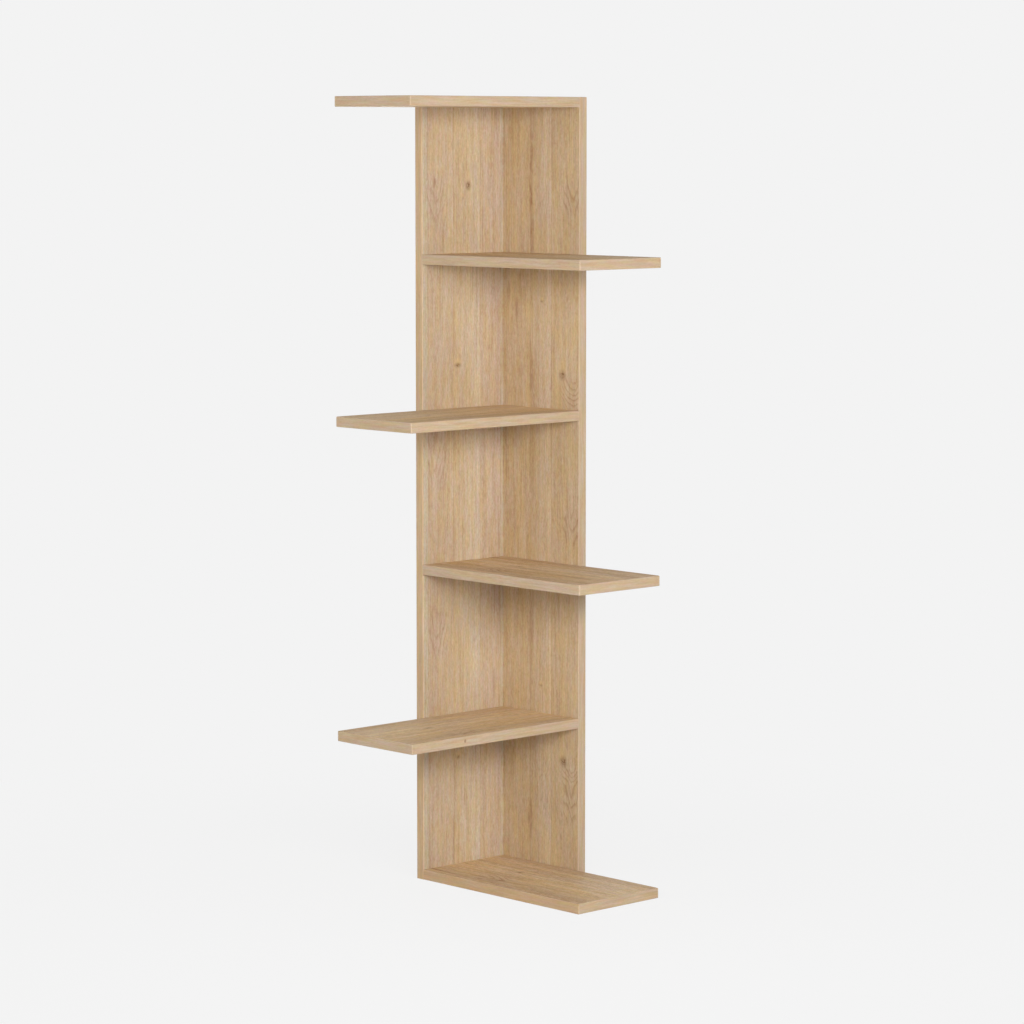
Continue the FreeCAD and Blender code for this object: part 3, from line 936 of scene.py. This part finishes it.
# Speckles of the plating and the beech, where they darken a piece and how much, and how rough they make it
ZINC_CLOUDS = Speckle(350.0, 3.0)
ZINC_GRIT = Speckle(2500.0, 2.0)
ZINC_DULL = (0.4, 0.75)
ZINC_DULL_SHARE = 0.5
ZINC_CLOUD_ROUGHNESS = 0.25
BEECH_CLOUDS = Speckle(90.0, 3.0)
BEECH_FLECKS = Speckle(900.0, 2.0)
FLECK_EDGE = (0.55, 0.7)
FLECK_SHARE = 0.5
BEECH_CLOUD_SHARE = 0.2
BEECH_CLOUD_ROUGHNESS = 0.2
SPECKLE_RELIEF = 0.3


def speckle_at(speckle, place):
    """A speckle's value at a place, from 0 to 1."""
    return place.node(
        "ShaderNodeTexNoise", inlets={"Vector": place, "Scale": speckle.spots, "Detail": speckle.detail}
    )


def zinc_plate(metal):
    """Bright zinc plating with the slight cloudiness of a barrel-plated screw."""
    material, shader, start = new_material("zinc_plate")
    place = start.node("ShaderNodeTexCoord", outlet="Object")
    cloud = speckle_at(ZINC_CLOUDS, place)
    grit = speckle_at(ZINC_GRIT, place)
    dull = step(cloud, *ZINC_DULL) * ZINC_DULL_SHARE
    shader.inputs["Metallic"].default_value = 1.0
    connect(
        shader,
        Base_Color=blend(opaque(metal.zinc), opaque(metal.dull), dull),
        Roughness=metal.roughness + (cloud - MIDDLE) * ZINC_CLOUD_ROUGHNESS,
        Normal=raise_grain(grit, metal.grit_depth, SPECKLE_RELIEF),
    )
    return material


def beech_dowel(beech):
    """Beech with its short dark flecks."""
    material, shader, start = new_material("beech")
    place = start.node("ShaderNodeTexCoord", outlet="Object")
    cloud = speckle_at(BEECH_CLOUDS, place)
    fleck = speckle_at(BEECH_FLECKS, place)
    dark = step(fleck, *FLECK_EDGE) * FLECK_SHARE + cloud * BEECH_CLOUD_SHARE
    connect(
        shader,
        Base_Color=blend(opaque(beech.beech), opaque(beech.fleck), dark),
        Roughness=beech.roughness + (cloud - MIDDLE) * BEECH_CLOUD_ROUGHNESS,
        Normal=raise_grain(fleck, beech.fleck_depth, SPECKLE_RELIEF),
    )
    return material


# Stage


class Studio(bpy.types.PropertyGroup):
    """Floor, lamps and camera."""

    camera_place: bpy.props.FloatVectorProperty(
        name="Camera place", description="Where the camera stands", subtype="TRANSLATION", unit="LENGTH",
        default=(4.4485, -4.1655, 1.320)
    )
    camera_turn: bpy.props.FloatProperty(
        name="Camera turn", description="Camera's turn about the vertical", subtype="ANGLE",
        default=math.radians(46.66)
    )
    camera_tip: bpy.props.FloatProperty(
        name="Camera tip", description="How far the camera looks down", subtype="ANGLE",
        default=math.radians(6.05)
    )
    lens: bpy.props.FloatProperty(
        name="Lens", description="Focal length on a 36 mm sensor, in millimetres", default=124.66
    )
    key_power: bpy.props.FloatProperty(
        name="Key lamp", description="Power of the wide soft lamp in front", unit="POWER",
        default=113.0
    )
    fill_power: bpy.props.FloatProperty(
        name="Fill lamp", description="Power of the smaller lamp, to the camera's left", unit="POWER",
        default=17.5
    )
    back_power: bpy.props.FloatProperty(
        name="Back lamp", description="Power of the low lamp behind the uprights", unit="POWER",
        default=85.0
    )
    room_light: bpy.props.FloatProperty(
        name="Room light", description="Even light from all around", default=0.41
    )
    backdrop: colour_setting("Backdrop", "Pale grey-white behind the object", paint(243, 243, 243))
    floor: colour_setting("Floor", "Colour of the floor", (0.85, 0.85, 0.85))
    floor_light: bpy.props.FloatProperty(
        name="Floor light", description="How bright the lamps leave the floor, next to the backdrop",
        subtype="FACTOR", default=0.73
    )
    shadow: bpy.props.FloatProperty(
        name="Shadow", description="How much of the floor's shading shows near the object",
        subtype="FACTOR", default=0.12
    )


Lamp = namedtuple("Lamp", "name width height distance turn lift")
Lamp.__doc__ = """A soft lamp: its size and its distance from the object in metres, and in degrees how
far it is turned round the object, starting in front of the right upright, and lifted above its middle."""

KEY_LAMP = Lamp("key_lamp", 4.0, 0.8, 3.5, 60.0, 12.5)
FILL_LAMP = Lamp("fill_lamp", 2.0, 1.2, 3.5, 0.0, 22.0)
BACK_LAMP = Lamp("back_lamp", 4.0, 0.3, 5.0, 225.0, -7.0)

# The height that the lamps are aimed at, in metres
AIM_HEIGHT = 0.75

# The floor's half width, and where the object's shadow starts and stops to fade on it, in metres
FLOOR_HALF = 60.0
SHADOW_REACH = (0.3, 1.5)

# The camera's sensor in mm, and how far it sees in metres
SENSOR_WIDTH = 36.0
FAR_END = 200.0


def seen_directly(start):
    """1 for what the camera sees, itself or in a mirror or glass, and 0 for light that falls on things."""
    path = start.node("ShaderNodeLightPath", outlet="Is Camera Ray")
    mirrored = path.outlet("Is Glossy Ray").math("MAXIMUM", path.outlet("Is Transmission Ray"))
    return path.math("MAXIMUM", mirrored)


def floor_material(studio):
    """A pale floor that looks like the backdrop, and shows the object's shadow faintly near it."""
    material, shader, start = new_material("floor")
    tree = material.node_tree
    tree.nodes.remove(shader)
    place = start.node("ShaderNodeTexCoord", outlet="Object")
    distance = start.node("ShaderNodeVectorMath", {"operation": "LENGTH"}, {0: place}, outlet="Value")
    shaded = fall(distance, *SHADOW_REACH) * studio.shadow
    plain = seen_directly(start) * (1.0 - shaded)
    lift = (1.0 - shaded * studio.floor_light) / (1.0 - shaded)
    glow = start.node(
        "ShaderNodeVectorMath", {"operation": "SCALE"}, {0: tuple(studio.backdrop), "Scale": lift}
    )
    lit = start.node("ShaderNodeBsdfDiffuse", inlets={"Color": opaque(studio.floor)})
    paper = start.node("ShaderNodeEmission", inlets={"Color": glow})
    mixed = start.node("ShaderNodeMixShader", inlets={0: plain, 1: lit, 2: paper})
    tree.links.new(mixed.socket, tree.nodes["Material Output"].inputs["Surface"])
    return material


def build_floor(studio):
    """A floor large enough to reach the horizon."""
    half = FLOOR_HALF
    corners = [(-half, -half, 0), (half, -half, 0), (half, half, 0), (-half, half, 0)]
    mesh = bpy.data.meshes.new("floor")
    mesh.from_pydata(corners, [], [(0, 1, 2, 3)])
    floor = bpy.data.objects.new("floor", mesh)
    mesh.materials.append(floor_material(studio))
    bpy.context.scene.collection.objects.link(floor)


def build_world(studio):
    """Even light from all around, and a pale backdrop where the camera sees past the object."""
    world = bpy.data.worlds.new("room")
    bpy.context.scene.world = world
    world.use_nodes = True
    tree = world.node_tree
    start = Wire(tree)
    white = (1.0, 1.0, 1.0, 1.0)
    backdrop = opaque(studio.backdrop)
    glow = start.node("ShaderNodeBackground", inlets={"Color": white, "Strength": studio.room_light})
    paper = start.node("ShaderNodeBackground", inlets={"Color": backdrop, "Strength": 1.0})
    mixed = start.node("ShaderNodeMixShader", inlets={0: seen_directly(start), 1: glow, 2: paper})
    tree.links.new(mixed.socket, tree.nodes["World Output"].inputs["Surface"])


def build_lamp(lamp, power):
    """Hangs a soft lamp and aims it at the middle of the object."""
    light = bpy.data.lights.new(lamp.name, "AREA")
    light.shape = "RECTANGLE"
    light.size = lamp.width
    light.size_y = lamp.height
    light.energy = power
    turn = math.radians(lamp.turn)
    lift = math.radians(lamp.lift)
    hung = bpy.data.objects.new(lamp.name, light)
    hung.location = (
        lamp.distance * math.sin(turn) * math.cos(lift),
        -lamp.distance * math.cos(turn) * math.cos(lift),
        AIM_HEIGHT + lamp.distance * math.sin(lift),
    )
    hung.rotation_euler = (math.pi / 2 - lift, 0, turn)
    hung.visible_camera = False
    bpy.context.scene.collection.objects.link(hung)


def build_camera(studio):
    """The camera at its standing place."""
    view = bpy.data.cameras.new("camera")
    view.lens = studio.lens
    view.sensor_width = SENSOR_WIDTH
    view.clip_end = FAR_END
    camera = bpy.data.objects.new("camera", view)
    camera.location = studio.camera_place
    camera.rotation_euler = (math.pi / 2 - studio.camera_tip, 0, studio.camera_turn)
    bpy.context.scene.collection.objects.link(camera)
    bpy.context.scene.camera = camera


# Operators


class BOOKSHELF_OT_finish_uprights(bpy.types.Operator):
    """Gives both uprights their oak faces"""

    bl_idname = "bookshelf.finish_uprights"
    bl_label = "Finish uprights"

    def execute(self, context):
        for board in upright_boards():
            finish_nodes([board.node], oak_board(board, context.scene.bookshelf_oak))
        return {"FINISHED"}


class BOOKSHELF_OT_finish_shelves(bpy.types.Operator):
    """Gives the six shelves their oak faces"""

    bl_idname = "bookshelf.finish_shelves"
    bl_label = "Finish shelves"

    def execute(self, context):
        for board in shelf_boards():
            finish_nodes([board.node], oak_board(board, context.scene.bookshelf_oak))
        return {"FINISHED"}


class BOOKSHELF_OT_finish_bands(bpy.types.Operator):
    """Gives the edge bands oak with the grain along their length"""

    bl_idname = "bookshelf.finish_bands"
    bl_label = "Finish edge bands"

    def execute(self, context):
        for name in EDGE_BANDS:
            finish_nodes([name], oak_band(name, context.scene.bookshelf_oak))
        return {"FINISHED"}


class BOOKSHELF_OT_finish_screws(bpy.types.Operator):
    """Gives the screws their zinc plating"""

    bl_idname = "bookshelf.finish_screws"
    bl_label = "Finish screws"

    def execute(self, context):
        finish_nodes(SCREWS, zinc_plate(context.scene.bookshelf_metal))
        return {"FINISHED"}


class BOOKSHELF_OT_finish_dowels(bpy.types.Operator):
    """Gives the dowels their beech"""

    bl_idname = "bookshelf.finish_dowels"
    bl_label = "Finish dowels"

    def execute(self, context):
        finish_nodes(DOWELS, beech_dowel(context.scene.bookshelf_beech))
        return {"FINISHED"}


class BOOKSHELF_OT_set_stage(bpy.types.Operator):
    """Builds the floor, the lamps and the camera"""

    bl_idname = "bookshelf.set_stage"
    bl_label = "Set stage"

    def execute(self, context):
        studio = context.scene.bookshelf_studio
        context.scene.view_settings.view_transform = "Standard"
        build_world(studio)
        build_floor(studio)
        build_lamp(KEY_LAMP, studio.key_power)
        build_lamp(FILL_LAMP, studio.fill_power)
        build_lamp(BACK_LAMP, studio.back_power)
        build_camera(studio)
        return {"FINISHED"}


OPERATORS = (
    BOOKSHELF_OT_finish_uprights,
    BOOKSHELF_OT_finish_shelves,
    BOOKSHELF_OT_finish_bands,
    BOOKSHELF_OT_finish_screws,
    BOOKSHELF_OT_finish_dowels,
    BOOKSHELF_OT_set_stage,
)


SETTINGS = {
    "bookshelf_oak": OakFinish,
    "bookshelf_metal": MetalFinish,
    "bookshelf_beech": BeechFinish,
    "bookshelf_studio": Studio,
}


class BOOKSHELF_PT_finish(bpy.types.Panel):
    """Lists the steps that dress the bookshelf"""

    bl_label = "Bookshelf"
    bl_idname = "BOOKSHELF_PT_finish"
    bl_space_type = "VIEW_3D"
    bl_region_type = "UI"
    bl_category = "Bookshelf"

    def draw(self, context):
        for operator in OPERATORS:
            self.layout.operator(operator.bl_idname)
        for setting, group in SETTINGS.items():
            box = self.layout.box()
            for value in group.__annotations__:
                box.prop(getattr(context.scene, setting), value)


def register():
    """Adds the settings, the operators and the panel."""
    for group in (*SETTINGS.values(), *OPERATORS, BOOKSHELF_PT_finish):
        bpy.utils.register_class(group)
    for name, group in SETTINGS.items():
        setattr(bpy.types.Scene, name, bpy.props.PointerProperty(type=group))


def unregister():
    """Takes the panel, the operators and the settings away again."""
    for name in SETTINGS:
        delattr(bpy.types.Scene, name)
    for group in (BOOKSHELF_PT_finish, *reversed(OPERATORS), *reversed(SETTINGS.values())):
        bpy.utils.unregister_class(group)


def main():
    """Dresses the whole bookshelf and writes its box before and after."""
    register()
    bpy.ops.bookshelf.finish_uprights()
    bpy.ops.bookshelf.finish_shelves()
    bpy.ops.bookshelf.finish_bands()
    bpy.ops.bookshelf.finish_screws()
    bpy.ops.bookshelf.finish_dowels()
    bpy.ops.bookshelf.set_stage()


if __name__ == "__main__":
    main()
